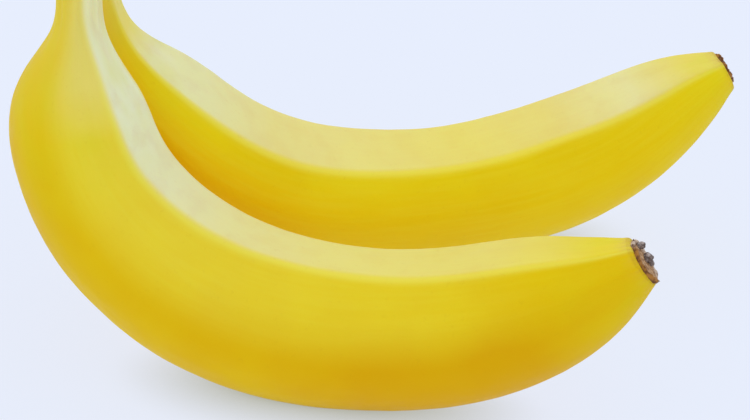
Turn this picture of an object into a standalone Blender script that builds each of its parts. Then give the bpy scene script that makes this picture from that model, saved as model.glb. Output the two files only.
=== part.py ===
# Two ripe bananas that grew together, still joined at one crown and standing on their bellies.
# Metres, +Z up. The stems are at -X, the blossom ends at +X, and the front fruit is on the -Y side.
# The origin is on the resting surface, under the middle of the pair.

from math import cos, pi, radians, sin
from random import Random

import bmesh
import bpy
import numpy as np
from mathutils import Vector

MM = 0.001

# Each fruit is drawn by stations along its spine, from the crown to the blossom end. A station is the
# spine's place x, y, z and the half thickness there, in millimetres, and the roll of the section in degrees.
FRONT_STATIONS = (
    (-70.0, -6.5, 99.5, 5.6, 0.0),
    (-68.0, -10.5, 90.5, 5.1, 12.0),
    (-68.0, -11.5, 84.5, 4.8, 14.0),
    (-68.0, -12.5, 77.5, 6.4, 11.0),
    (-68.8, -14.0, 68.5, 13.1, 7.0),
    (-67.0, -17.0, 52.0, 17.5, 1.5),
    (-41.0, -26.0, 24.0, 20.0, -4.5),
    (-7.0, -32.0, 17.6, 19.7, -4.0),
    (13.5, -35.0, 20.6, 18.8, -2.0),
    (40.0, -37.5, 31.4, 15.2, 2.0),
    (50.5, -38.0, 38.0, 10.0, 3.5),
    (56.2, -38.0, 42.4, 6.3, 5.0),
)
REAR_STATIONS = (
    (-71.0, 7.0, 99.5, 5.4, 12.0),
    (-68.5, 10.0, 88.5, 4.8, 20.0),
    (-66.5, 11.0, 77.5, 4.7, 22.0),
    (-65.0, 12.0, 66.5, 6.9, 19.5),
    (-59.0, 13.5, 53.0, 14.1, 18.0),
    (-44.0, 18.0, 34.7, 17.2, 13.5),
    (-26.5, 23.0, 21.6, 18.8, 8.5),
    (-1.5, 29.5, 16.0, 17.8, 6.0),
    (23.0, 36.0, 16.1, 17.6, 4.0),
    (46.0, 42.0, 20.8, 18.1, 2.5),
    (66.0, 47.0, 31.0, 15.7, 3.5),
    (80.0, 50.5, 41.3, 10.3, 2.5),
    (86.7, 52.0, 45.6, 6.0, 2.0),
)
# The flat face on the inside of each bend looks towards a point that the fruit curves round.
FRONT_BEND_CENTRE = (0.0, -19.0, 105.0)
REAR_BEND_CENTRE = (0.0, 28.0, 105.0)

# Five ridges run along the skin: two beside the inside face, two at the sides, and one under the belly.
# They are placed in degrees round the section from the middle of the inside face.
INNER_RIDGE = 32.0
SIDE_RIDGE = 74.0
BELLY_RIDGE = 180.0
# Points from one ridge to the next on one half of a ring: half the inside face, a side, half the belly.
INSIDE_STEPS = 2
SIDE_STEPS = 4
BELLY_STEPS = 4
HALF_RING = INSIDE_STEPS + SIDE_STEPS + BELLY_STEPS
RING_SIDES = 2 * HALF_RING
# How flat the skin is between two ridges: 0 is a round arc, 1 is a plane.
INSIDE_FLATNESS = 0.8
SIDE_FLATNESS = 0.6
BELLY_FLATNESS = 0.37
# The inner ridges and the belly ridge are this crisp, from 0 to 1. The side ridges are soft.
RIDGE_CREASE = 0.2
# The stem takes this share of the spine. Its ridges are this much softer where it meets the crown.
STEM_SHARE = 0.16
STEM_SOFTNESS = 0.5

RINGS = 26
END_CROWDING = 0.35
# Rounding the skin draws it in a little, so the rings are made this much larger.
ROUNDING_GAIN = 1.016

# The crown is a woody pad above the two stems. A level of it is its height, its half width in X and in Y.
CROWN_CENTRE = (-71.0, 0.0)
CROWN_LEAN = -0.17
CROTCH_HEIGHT = 100.5
CROTCH_DIP = 2.5
WAIST_HALF_WIDTH = 4.6
CROWN_LEVELS = (
    (105.0, 6.6, 12.8),
    (109.5, 7.4, 14.0),
    (113.5, 7.5, 13.9),
)
CROWN_SQUARENESS = 0.75
# The dry cut face: each step's share of the last level's size, and how far it stands above that level.
CUT_FACE_STEPS = ((0.86, 0.6), (0.55, -0.2), (0.25, 0.1))

# The blunt end of a fruit: each step's share of the last ring's size, and how far it stands proud of it.
TIP_RISE = 0.6
TIP_STEPS = ((0.95, 0.5), (0.66, TIP_RISE), (0.32, TIP_RISE))

# What is left of the flower on a blunt end: a ragged cup with the stub of the pistil in it. It may sit
# a little above the middle of the end. A step is its share of the cup's radius, its height, its
# raggedness as a share, and how uneven its height is.
FRONT_CUP = {"radius": 5.3, "above_middle": 0.0, "stub": 2.2, "seed": 11}
REAR_CUP = {"radius": 4.5, "above_middle": 0.7, "stub": 1.0, "seed": 29}
CUP_SIDES = 26
CUP_STEPS = (
    (0.55, 0.0, 0.0, 0.0),
    (0.94, 0.0, 0.02, 0.0),
    (1.0, 0.4, 0.05, 0.1),
    (0.97, 0.9, 0.07, 0.35),
    (0.84, 0.8, 0.07, 0.25),
    (0.62, 0.5, 0.1, 0.1),
    (0.42, 0.6, 0.12, 0.1),
)
STUB_SHARES = ((0.36, 0.85), (0.2, 1.0))
STUB_RAGGEDNESS = 0.15
CUP_GAP = 0.3

# The surface at Z = 0 presses a small flat into each belly.
FLOOR_CUTTER_SIZE = (400.0, 300.0, 20.0)


def clear_scene():
    for thing in list(bpy.data.objects):
        bpy.data.objects.remove(thing, do_unlink=True)


def make_material(name, colour, roughness):
    material = bpy.data.materials.new(name)
    material.use_nodes = True
    shader = material.node_tree.nodes["Principled BSDF"]
    shader.inputs["Base Color"].default_value = (*colour, 1.0)
    shader.inputs["Roughness"].default_value = roughness
    shader.inputs["Metallic"].default_value = 0.0
    return material


def spline_through(stations, count):
    """Rows of a natural cubic spline through the stations, crowded towards both ends."""
    rows = np.array(stations)
    spans = np.linalg.norm(np.diff(rows[:, :3], axis=0), axis=1)
    knots = np.concatenate(([0.0], np.cumsum(spans))) / spans.sum()
    steps = np.diff(knots)
    last = len(knots) - 1
    bend = np.eye(last + 1)
    pull = np.zeros_like(rows)
    for i in range(1, last):
        bend[i, i - 1 : i + 2] = steps[i - 1], 2 * (steps[i - 1] + steps[i]), steps[i]
        slope_after = (rows[i + 1] - rows[i]) / steps[i]
        slope_before = (rows[i] - rows[i - 1]) / steps[i - 1]
        pull[i] = 6 * (slope_after - slope_before)
    curvature = np.linalg.solve(bend, pull)

    even = np.linspace(0.0, 1.0, count)
    shares = even - END_CROWDING * np.sin(2 * pi * even) / (2 * pi)
    span = np.clip(np.searchsorted(knots, shares, side="right") - 1, 0, last - 1)
    width = steps[span][:, None]
    after = (shares[:, None] - knots[span][:, None]) / width
    before = 1 - after
    line = before * rows[span] + after * rows[span + 1]
    bow = (before**3 - before) * curvature[span] + (after**3 - after) * curvature[span + 1]
    return shares, line + bow * width**2 / 6


def section_of(round_share):
    """Angles and radii of one ring, from a soft even ring (1) to the five-ridged fruit (0)."""
    faces = (
        (0.0, INNER_RIDGE, 0.0, INSIDE_FLATNESS, INSIDE_STEPS),
        (INNER_RIDGE, SIDE_RIDGE, (INNER_RIDGE + SIDE_RIDGE) / 2, SIDE_FLATNESS, SIDE_STEPS),
        (SIDE_RIDGE, BELLY_RIDGE, (SIDE_RIDGE + BELLY_RIDGE) / 2, BELLY_FLATNESS, BELLY_STEPS),
    )
    angles, radii = [0.0], []
    for low, high, middle, flatness, steps in faces:
        softened = flatness * (1 - round_share * STEM_SOFTNESS)
        for step in range(steps + 1):
            angle = low + (high - low) * step / steps
            plane = cos(radians(high - middle)) / cos(radians(angle - middle))
            if step > 0:
                angles.append(angle)
            if step > 0 or low == 0.0:
                radii.append(1 - softened * (1 - plane))
    even = np.linspace(0.0, 180.0, HALF_RING + 1)
    angles = even * round_share + np.array(angles) * (1 - round_share)
    return np.concatenate((angles, -angles[-2:0:-1])), np.array(radii + radii[-2:0:-1])


def fruit_rings(stations, bend_centre):
    """Ring points of one fruit, then the middle of its blunt end and the direction in which that looks."""
    shares, rows = spline_through(stations, RINGS)
    centres = rows[:, :3]
    tangents = np.gradient(centres, axis=0)
    tangents /= np.linalg.norm(tangents, axis=1)[:, None]
    rings = []
    for share, row, tangent in zip(shares, rows, tangents):
        centre, thickness, roll = row[:3], row[3], row[4]
        inward = np.array(bend_centre) - centre
        inward -= inward.dot(tangent) * tangent
        inward /= np.linalg.norm(inward)
        sideways = np.cross(tangent, inward)
        angles, radii = section_of(max(0.0, 1 - share / STEM_SHARE))
        turned = np.radians(angles + roll)[:, None]
        spokes = np.cos(turned) * inward + np.sin(turned) * sideways
        rings.append(centre + ROUNDING_GAIN * thickness * radii[:, None] * spokes)
    return rings, centres[-1], tangents[-1]


def crown_ring(height, half_width, half_depth):
    """A rounded oblong ring, numbered from +X by way of the front fruit's side."""
    turn = np.arange(RING_SIDES) * 2 * pi / RING_SIDES
    across = np.sign(np.cos(turn)) * np.abs(np.cos(turn)) ** CROWN_SQUARENESS
    along = np.sign(np.sin(turn)) * np.abs(np.sin(turn)) ** CROWN_SQUARENESS
    lean = CROWN_LEAN * (height - CROTCH_HEIGHT)
    x = CROWN_CENTRE[0] + lean + half_width * across
    y = CROWN_CENTRE[1] - half_depth * along
    return np.column_stack((x, y, np.full(RING_SIDES, height)))


def add_ring(mesh, points):
    return [mesh.verts.new(Vector(point) * MM) for point in points]


def bridge(mesh, upper, lower):
    """Quads between two rings with the same numbering, facing outwards when upper is nearer the crown."""
    count = len(upper)
    for i in range(count):
        j = (i + 1) % count
        mesh.faces.new((upper[i], upper[j], lower[j], lower[i]))


def close_end(mesh, ring, centre):
    middle = mesh.verts.new(Vector(centre) * MM)
    count = len(ring)
    for i in range(count):
        mesh.faces.new((ring[i], ring[(i + 1) % count], middle))


def grow_fruit(mesh, first_ring, rings, tip, heading):
    """Skin from the crown's ring down to the blunt end where the flower sat."""
    crease = mesh.edges.layers.float.get("crease_edge") or mesh.edges.layers.float.new("crease_edge")
    crisp_ridges = (INSIDE_STEPS, HALF_RING, RING_SIDES - INSIDE_STEPS)
    upper = first_ring
    for points in rings:
        lower = add_ring(mesh, points)
        bridge(mesh, upper, lower)
        for place in crisp_ridges:
            mesh.edges.get((upper[place], lower[place]))[crease] = RIDGE_CREASE
        upper = lower
    last = rings[-1]
    for shrink, rise in TIP_STEPS:
        lower = add_ring(mesh, tip + (last - tip) * shrink + heading * rise)
        bridge(mesh, upper, lower)
        upper = lower
    close_end(mesh, upper, tip + heading * TIP_STEPS[-1][1])


def grow_crown(mesh, front_top, rear_top):
    """The pad over both stems. It returns the ring that each stem hangs from."""
    centre_x, centre_y = CROWN_CENTRE
    turn = np.arange(1, HALF_RING) * pi / HALF_RING
    crotch = np.column_stack((
        centre_x + WAIST_HALF_WIDTH * np.cos(turn),
        np.full(HALF_RING - 1, centre_y),
        CROTCH_HEIGHT - CROTCH_DIP * np.sin(turn),
    ))
    inner_end, outer_end = add_ring(mesh, (
        (centre_x + WAIST_HALF_WIDTH, centre_y, CROTCH_HEIGHT),
        (centre_x - WAIST_HALF_WIDTH, centre_y, CROTCH_HEIGHT),
    ))
    web = add_ring(mesh, crotch)
    front_side = add_ring(mesh, front_top[1:HALF_RING])
    rear_side = add_ring(mesh, rear_top[HALF_RING + 1 :])

    lower = [inner_end, *front_side, outer_end, *rear_side]
    for height, half_width, half_depth in CROWN_LEVELS:
        upper = add_ring(mesh, crown_ring(height, half_width, half_depth))
        bridge(mesh, upper, lower)
        lower = upper
    top_height, top_width, top_depth = CROWN_LEVELS[-1]
    for shrink, rise in CUT_FACE_STEPS:
        upper = add_ring(mesh, crown_ring(top_height + rise, top_width * shrink, top_depth * shrink))
        bridge(mesh, upper, lower)
        lower = upper
    top_x = centre_x + CROWN_LEAN * (top_height - CROTCH_HEIGHT)
    close_end(mesh, lower[::-1], (top_x, centre_y, top_height))
    front_ring = [inner_end, *front_side, outer_end, *reversed(web)]
    rear_ring = [inner_end, *web, outer_end, *rear_side]
    return front_ring, rear_ring


def link_object(name, mesh, material):
    data = bpy.data.meshes.new(name)
    mesh.to_mesh(data)
    mesh.free()
    data.shade_smooth()
    data.materials.append(material)
    thing = bpy.data.objects.new(name, data)
    bpy.context.scene.collection.objects.link(thing)
    return thing


def make_floor_cutter():
    mesh = bmesh.new()
    size = Vector(FLOOR_CUTTER_SIZE) * MM
    bmesh.ops.create_cube(mesh, size=1.0)
    bmesh.ops.scale(mesh, vec=size, verts=mesh.verts)
    bmesh.ops.translate(mesh, vec=(0.0, 0.0, -size.z / 2), verts=mesh.verts)
    data = bpy.data.meshes.new("floor_cutter")
    mesh.to_mesh(data)
    mesh.free()
    cutter = bpy.data.objects.new("floor_cutter", data)
    bpy.context.scene.collection.objects.link(cutter)
    cutter.hide_render = True
    cutter.display_type = "WIRE"
    return cutter


def make_pair(material, front, rear):
    """Both fruits, their stems and the crown as one skin, with a small flat under each belly."""
    front_rings, front_tip, front_heading = front
    rear_rings, rear_tip, rear_heading = rear
    mesh = bmesh.new()
    front_ring, rear_ring = grow_crown(mesh, front_rings[0], rear_rings[0])
    grow_fruit(mesh, front_ring, front_rings[1:], front_tip, front_heading)
    grow_fruit(mesh, rear_ring, rear_rings[1:], rear_tip, rear_heading)
    pair = link_object("banana_pair", mesh, material)
    smooth = pair.modifiers.new("round skin", "SUBSURF")
    smooth.levels = 1
    smooth.render_levels = 1
    flats = pair.modifiers.new("belly flats", "BOOLEAN")
    flats.operation = "DIFFERENCE"
    flats.object = make_floor_cutter()
    return pair


def make_blossom_end(name, material, tip, heading, cup):
    """The dried ring where the flower broke off, standing just clear of the fruit's blunt end."""
    draw = Random(cup["seed"])
    outward = Vector(heading)
    sideways = outward.cross(Vector((0.0, 0.0, 1.0))).normalized()
    upwards = sideways.cross(outward)
    foot = Vector(tip) + outward * (TIP_RISE + CUP_GAP) + upwards * cup["above_middle"]
    steps = list(CUP_STEPS)
    steps += [(share, cup["stub"] * rise, STUB_RAGGEDNESS, 0.0) for share, rise in STUB_SHARES]

    mesh = bmesh.new()
    rings = []
    for share, height, raggedness, unevenness in steps:
        ring = []
        for side in range(CUP_SIDES):
            turn = 2 * pi * side / CUP_SIDES
            reach = cup["radius"] * share * (1 + raggedness * draw.uniform(-1.0, 1.0))
            rise = height + unevenness * draw.uniform(-1.0, 1.0)
            spoke = sideways * cos(turn) + upwards * sin(turn)
            ring.append(mesh.verts.new((foot + spoke * reach + outward * rise) * MM))
        rings.append(ring)
    for near, far in zip(rings, rings[1:]):
        for side in range(CUP_SIDES):
            after = (side + 1) % CUP_SIDES
            mesh.faces.new((near[side], near[after], far[after], far[side]))
    mesh.faces.new(rings[0][::-1])
    mesh.faces.new(rings[-1])
    bmesh.ops.recalc_face_normals(mesh, faces=mesh.faces)
    return link_object(name, mesh, material)


def centre_on_origin(things):
    """Moves everything sideways so that the origin is under the middle of the bounding box."""
    bpy.context.view_layer.update()
    graph = bpy.context.evaluated_depsgraph_get()
    corners = np.array([
        thing.matrix_world @ Vector(corner)
        for thing in things
        for corner in thing.evaluated_get(graph).bound_box
    ])
    middle = (corners.min(axis=0) + corners.max(axis=0)) / 2
    for thing in things:
        thing.location.x -= middle[0]
        thing.location.y -= middle[1]


clear_scene()
skin = make_material("ripe skin", (0.75, 0.52, 0.03), 0.45)
dried = make_material("dried blossom", (0.06, 0.03, 0.015), 0.85)
front_fruit = fruit_rings(FRONT_STATIONS, FRONT_BEND_CENTRE)
rear_fruit = fruit_rings(REAR_STATIONS, REAR_BEND_CENTRE)
front_tip, front_heading = front_fruit[1:]
rear_tip, rear_heading = rear_fruit[1:]
pieces = [
    make_pair(skin, front_fruit, rear_fruit),
    make_blossom_end("blossom_end_front", dried, front_tip, front_heading, FRONT_CUP),
    make_blossom_end("blossom_end_rear", dried, rear_tip, rear_heading, REAR_CUP),
]
centre_on_origin(pieces)
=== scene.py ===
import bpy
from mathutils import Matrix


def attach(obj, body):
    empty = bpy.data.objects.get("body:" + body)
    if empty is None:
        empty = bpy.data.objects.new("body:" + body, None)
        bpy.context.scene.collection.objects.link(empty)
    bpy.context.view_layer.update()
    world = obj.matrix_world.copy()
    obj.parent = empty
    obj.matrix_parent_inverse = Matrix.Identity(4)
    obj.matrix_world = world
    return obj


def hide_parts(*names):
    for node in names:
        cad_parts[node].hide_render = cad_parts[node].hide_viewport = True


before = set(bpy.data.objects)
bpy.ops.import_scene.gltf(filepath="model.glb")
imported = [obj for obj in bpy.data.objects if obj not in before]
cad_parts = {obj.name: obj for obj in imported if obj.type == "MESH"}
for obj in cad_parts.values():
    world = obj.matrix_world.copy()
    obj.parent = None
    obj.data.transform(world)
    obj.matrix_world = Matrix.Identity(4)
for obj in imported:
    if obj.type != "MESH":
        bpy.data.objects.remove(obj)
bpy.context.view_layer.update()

from math import cos, exp, pi, radians, sin
from random import Random

import bmesh
import bpy
import numpy as np
from mathutils import Matrix, Vector, noise

# Two ripe bananas joined at one crown. The stems are at -X, the blossom ends at +X, and the front
# fruit is on the -Y side. Shapes are given in millimetres here and built in metres.
mm = 0.001


# Small mesh helpers
def addRing(mesh, points):
    return [mesh.verts.new(Vector(point) * mm) for point in points]


def bridge(mesh, upper, lower):
    # quads between two rings with the same numbering
    count = len(upper)
    for i in range(count):
        after = (i + 1) % count
        mesh.faces.new((upper[i], upper[after], lower[after], lower[i]))


def closeEnd(mesh, ring, centre):
    # a fan of triangles from a ring to one point in its middle
    middle = mesh.verts.new(Vector(centre) * mm)
    count = len(ring)
    for i in range(count):
        mesh.faces.new((ring[i], ring[(i + 1) % count], middle))


def addObject(name, data):
    thing = bpy.data.objects.new(name, data)
    bpy.context.scene.collection.objects.link(thing)
    return thing


def finishMesh(name, mesh, *materials):
    data = bpy.data.meshes.new(name)
    mesh.to_mesh(data)
    mesh.free()
    data.shade_smooth()
    for material in materials:
        data.materials.append(material)
    return addObject(name, data)


def storeOn(data, name, values):
    # keeps a number or a place for each point of the mesh
    isPlace = values.ndim == 2
    attribute = data.attributes.new(name, "FLOAT_VECTOR" if isPlace else "FLOAT", "POINT")
    attribute.data.foreach_set("vector" if isPlace else "value", values.astype(np.float32).ravel())


def smoothStep(low, high, value):
    share = np.clip((value - low) / (high - low), 0.0, 1.0)
    return share * share * (3 - 2 * share)


def hump(value, halfWidth):
    # 1 at nought, fading evenly to both sides
    return np.exp(-((value / halfWidth) ** 2))


# The fruits: stations along each spine hold x, y, z, half thickness and the roll of the section
pairShape = {
    "place": (-3.475, -4.152),
    "frontStations": (
        (-70.0, -6.5, 99.5, 5.6, 0.0),
        (-68.0, -10.5, 90.5, 5.1, 12.0),
        (-68.0, -11.5, 84.5, 4.8, 14.0),
        (-68.0, -12.5, 77.5, 6.4, 11.0),
        (-68.8, -14.0, 68.5, 13.1, 7.0),
        (-67.0, -17.0, 52.0, 17.5, 1.5),
        (-41.0, -26.0, 24.0, 20.0, -4.5),
        (-7.0, -32.0, 17.6, 19.7, -4.0),
        (13.5, -35.0, 20.6, 18.8, -2.0),
        (40.0, -37.5, 31.4, 15.2, 2.0),
        (50.5, -38.0, 38.0, 10.0, 3.5),
        (56.2, -38.0, 42.4, 6.3, 5.0),
    ),
    "rearStations": (
        (-71.0, 7.0, 99.5, 5.4, 12.0),
        (-68.5, 10.0, 88.5, 4.8, 20.0),
        (-66.5, 11.0, 77.5, 4.7, 22.0),
        (-65.0, 12.0, 66.5, 6.9, 19.5),
        (-59.0, 13.5, 53.0, 14.1, 18.0),
        (-44.0, 18.0, 34.7, 17.2, 13.5),
        (-26.5, 23.0, 21.6, 18.8, 8.5),
        (-1.5, 29.5, 16.0, 17.8, 6.0),
        (23.0, 36.0, 16.1, 17.6, 4.0),
        (46.0, 42.0, 20.8, 18.1, 2.5),
        (66.0, 47.0, 31.0, 15.7, 3.5),
        (80.0, 50.5, 41.3, 10.3, 2.5),
        (86.7, 52.0, 45.6, 6.0, 2.0),
    ),
    "frontBendCentre": (0.0, -19.0, 105.0),  # the flat inside face looks this way
    "rearBendCentre": (0.0, 28.0, 105.0),
    "ridges": (32.0, 74.0, 180.0),  # degrees from the middle of the inside face
    "ridgeSteps": (2, 4, 4),  # points on half a ring from one ridge to the next
    "flatness": (0.8, 0.6, 0.37),  # of each face, from a round arc (0) to a plane (1)
    "ridgeCrease": 0.2,  # of the inner and belly ridges; the side ridges are soft
    "stemShare": 0.16,  # of the spine
    "stemSoftness": 0.5,
    "rings": 26,
    "endCrowding": 0.35,
    "roundingGain": 1.016,  # makes up for what rounding takes away
    "tipRise": 0.6,
    "tipSteps": ((0.95, 0.5), (0.66, 0.6), (0.32, 0.6)),
    "roundingLevels": 3,
    "measuredPlaces": 500,  # along each spine, to measure the skin by
}
halfRing = sum(pairShape["ridgeSteps"])
ringSides = 2 * halfRing

crownShape = {
    "centre": (-71.0, 0.0),
    "lean": -0.17,
    "crotchHeight": 100.5,
    "crotchDip": 2.5,
    "waistHalfWidth": 4.6,
    "levels": ((105.0, 6.6, 12.8), (109.5, 7.4, 14.0), (113.5, 7.5, 13.9)),
    "squareness": 0.75,
    "cutFaceSteps": ((0.86, 0.6), (0.55, -0.2), (0.25, 0.1)),
}


def splineThrough(stations, shares):
    # rows of a natural cubic spline, at shares of its length
    rows = np.array(stations)
    spans = np.linalg.norm(np.diff(rows[:, :3], axis=0), axis=1)
    knots = np.concatenate(([0.0], np.cumsum(spans))) / spans.sum()
    steps = np.diff(knots)
    last = len(knots) - 1
    bend = np.eye(last + 1)
    pull = np.zeros_like(rows)
    for i in range(1, last):
        bend[i, i - 1 : i + 2] = steps[i - 1], 2 * (steps[i - 1] + steps[i]), steps[i]
        slopeAfter = (rows[i + 1] - rows[i]) / steps[i]
        slopeBefore = (rows[i] - rows[i - 1]) / steps[i - 1]
        pull[i] = 6 * (slopeAfter - slopeBefore)
    curvature = np.linalg.solve(bend, pull)

    span = np.clip(np.searchsorted(knots, shares, side="right") - 1, 0, last - 1)
    width = steps[span][:, None]
    after = (shares[:, None] - knots[span][:, None]) / width
    before = 1 - after
    line = before * rows[span] + after * rows[span + 1]
    bow = (before**3 - before) * curvature[span] + (after**3 - after) * curvature[span + 1]
    return line + bow * width**2 / 6


def spineOf(stations, bendCentre, shares):
    # centres, half thicknesses and the frame of the section all along one fruit
    rows = splineThrough(stations, shares)
    centres = rows[:, :3]
    tangents = np.gradient(centres, axis=0)
    tangents /= np.linalg.norm(tangents, axis=1)[:, None]
    inward = np.array(bendCentre) - centres
    inward -= (inward * tangents).sum(axis=1)[:, None] * tangents
    inward /= np.linalg.norm(inward, axis=1)[:, None]
    sideways = np.cross(tangents, inward)
    lengths = np.concatenate(([0.0], np.cumsum(np.linalg.norm(np.diff(centres, axis=0), axis=1))))
    return {
        "shares": shares,
        "centres": centres,
        "tangents": tangents,
        "inward": inward,
        "sideways": sideways,
        "thickness": rows[:, 3],
        "roll": rows[:, 4],
        "lengths": lengths,
    }


def sectionOf(roundShare):
    # angles and radii of one ring, from a soft even ring (1) to the five-ridged fruit (0)
    angles, radii = [], []
    low = 0.0
    for high, flatness, steps in zip(pairShape["ridges"], pairShape["flatness"], pairShape["ridgeSteps"]):
        middle = (low + high) / 2 if low else 0.0
        softened = flatness * (1 - roundShare * pairShape["stemSoftness"])
        for step in range(1 if low else 0, steps + 1):
            angle = low + (high - low) * step / steps
            plane = cos(radians(high - middle)) / cos(radians(angle - middle))
            angles.append(angle)
            radii.append(1 - softened * (1 - plane))
        low = high
    even = np.linspace(0.0, 180.0, halfRing + 1)
    angles = even * roundShare + np.array(angles) * (1 - roundShare)
    return np.concatenate((angles, -angles[-2:0:-1])), np.array(radii + radii[-2:0:-1])


def fruitRings(spine):
    rings = []
    for i, share in enumerate(spine["shares"]):
        angles, radii = sectionOf(max(0.0, 1 - share / pairShape["stemShare"]))
        turned = np.radians(angles + spine["roll"][i])[:, None]
        spokes = np.cos(turned) * spine["inward"][i] + np.sin(turned) * spine["sideways"][i]
        size = pairShape["roundingGain"] * spine["thickness"][i] * radii[:, None]
        rings.append(spine["centres"][i] + size * spokes)
    return rings


def crownRing(height, halfWidth, halfDepth):
    turn = np.arange(ringSides) * 2 * pi / ringSides
    bulge = crownShape["squareness"]
    across, along = [np.sign(way) * np.abs(way) ** bulge for way in (np.cos(turn), np.sin(turn))]
    lean = crownShape["lean"] * (height - crownShape["crotchHeight"])
    x = crownShape["centre"][0] + lean + halfWidth * across
    y = crownShape["centre"][1] - halfDepth * along
    return np.column_stack((x, y, np.full(ringSides, height)))


def growFruit(mesh, firstRing, rings, tip, heading):
    crease = mesh.edges.layers.float["crease_edge"]
    firstSteps = pairShape["ridgeSteps"][0]
    ridges = (firstSteps, halfRing, ringSides - firstSteps)
    upper = firstRing
    for points in rings:
        lower = addRing(mesh, points)
        bridge(mesh, upper, lower)
        for place in ridges:
            mesh.edges.get((upper[place], lower[place]))[crease] = pairShape["ridgeCrease"]
        upper = lower
    last = rings[-1]
    for shrink, rise in pairShape["tipSteps"]:
        lower = addRing(mesh, tip + (last - tip) * shrink + heading * rise)
        bridge(mesh, upper, lower)
        upper = lower
    closeEnd(mesh, upper, tip + heading * pairShape["tipRise"])


def growCrown(mesh, frontTop, rearTop):
    # the pad over both stems; it gives back the ring that each stem hangs from
    centreX, centreY = crownShape["centre"]
    crotchHeight, waist = crownShape["crotchHeight"], crownShape["waistHalfWidth"]
    turn = np.arange(1, halfRing) * pi / halfRing
    crotch = np.column_stack((
        centreX + waist * np.cos(turn),
        np.full(halfRing - 1, centreY),
        crotchHeight - crownShape["crotchDip"] * np.sin(turn),
    ))
    innerEnd, outerEnd = addRing(mesh, (
        (centreX + waist, centreY, crotchHeight),
        (centreX - waist, centreY, crotchHeight),
    ))
    web = addRing(mesh, crotch)
    frontSide = addRing(mesh, frontTop[1:halfRing])
    rearSide = addRing(mesh, rearTop[halfRing + 1 :])

    lower = [innerEnd, *frontSide, outerEnd, *rearSide]
    topHeight, topWidth, topDepth = crownShape["levels"][-1]
    levels = list(crownShape["levels"])
    for shrink, rise in crownShape["cutFaceSteps"]:
        levels.append((topHeight + rise, topWidth * shrink, topDepth * shrink))
    for level in levels:
        upper = addRing(mesh, crownRing(*level))
        bridge(mesh, upper, lower)
        lower = upper
    topX = centreX + crownShape["lean"] * (topHeight - crotchHeight)
    closeEnd(mesh, lower[::-1], (topX, centreY, topHeight))
    return [innerEnd, *frontSide, outerEnd, *reversed(web)], [innerEnd, *web, outerEnd, *rearSide]


# What the skin does between its main forms, in millimetres. Grooves and creases have a height, a number
# round the section, how far they stray from straight, and how often in a millimetre.
skinRelief = {
    "seed": 7.3,
    "octaveFade": (1.0, 2.0),  # how much finer octaves of the noise fade, and how much finer each is
    "stemToBody": (14.0, 30.0),  # from the crown
    "stemToCrown": (99.0, 107.0),  # height
    "tipToBody": (1.0, 6.0),  # from the tip
    "unevenness": ((0.30, 0.035), (0.05, 0.22)),  # swell, dimples: height, and number to a millimetre
    "ridgeLine": (0.12, 1.8),  # along the inner ridges: height and half width
    "tipCreases": (0.06, 9, 3.0, 0.08),
    "tipCreaseReach": (4.0, 0.2, 1.2),  # from the tip, and where they start and are full
    "stemGrooves": (0.22, 11, 2.0, 0.05),
    "crownSides": (101.0, 107.0),  # height where the woody surface starts and is full
    "crownGrooves": (0.5, 9, 2.5, 0.09),
    "cutFacing": (0.55, 0.9),  # how far up it looks where the cut starts and is full
    "cutFibres": (0.45, 0.9, 3),  # height, number to a millimetre, octaves
    "cutEdge": (0.7, 0.35, 1.6),  # height, number to a millimetre, half width
}

# How the painted sheen and the painted shade on the peel change along the front and the rear fruit: share
# of the spine, strength there
paintedLightAlong = {
    "faceSheenPainted": (  # painted sheen of the inside face, where the overhead light reflects off it
        ((0.0, 0.85), (0.09, 0.8), (0.12, 0.9), (0.18, 0.94), (0.24, 0.87), (0.34, 0.74), (0.47, 0.5),
         (0.62, 0.34), (0.75, 0.26), (0.85, 0.24), (0.92, 0.15), (0.97, 0.05)),
        ((0.0, 0.6), (0.09, 0.5), (0.14, 0.3), (0.19, 0.75), (0.25, 0.70), (0.38, 0.41), (0.5, 0.36),
         (0.66, 0.25), (0.78, 0.30), (0.9, 0.54), (0.97, 0.2)),
    ),
    "facetEdge": (  # degrees that the painted sheen of the inside face goes past the ridge on the camera's side
        ((0.0, 2.0), (0.3, 3.0), (0.42, 1.5), (0.55, -1.5), (1.0, -1.0)),
        ((0.0, 0.0), (0.15, -2.0), (0.8, -3.0), (0.87, 0.0), (0.93, 4.0), (1.0, 4.0)),
    ),
    # painted sheen on the side, strongest by the neck
    "sideSheenPainted": (
        ((0.0, 0.2), (0.1, 0.33), (0.16, 0.25), (0.22, 0.06), (0.6, 0.03), (0.75, 0.02), (0.9, 0.0)),
        ((0.0, 0.2), (0.1, 0.1), (0.15, 0.0), (1.0, 0.0)),
    ),
    "bellyShadePainted": (  # painted shade of the belly, deep golden where less light reaches it
        ((0.0, 0.25), (0.2, 0.5), (0.4, 0.55), (0.55, 0.56), (0.68, 0.95), (0.82, 0.95), (0.95, 0.5)),
        ((0.0, 0.3), (0.3, 0.5), (0.5, 0.25), (0.7, 0.2), (0.95, 0.1)),
    ),
    "paintedShadeAmber": (  # painted shade of the side and belly, where the rear fruit lies in the front one's shade; none on the front fruit
        ((0.0, 0.0), (1.0, 0.0)),
        ((0.0, 0.35), (0.05, 0.7), (0.14, 1.0), (0.2, 1.0), (0.3, 0.78), (0.5, 0.42), (0.7, 0.3),
         (0.95, 0.2)),
    ),
    # painted shade of the side, where less light reaches it
    "sideShadePainted": (
        ((0.0, 0.1), (0.2, 0.05), (0.5, 0.1), (0.8, 0.25), (0.95, 0.45)),
        ((0.0, 0.2), (0.15, 0.15), (0.3, 0.0), (0.4, 0.0), (0.8, 0.05), (0.95, 0.0)),
    ),
}
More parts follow.
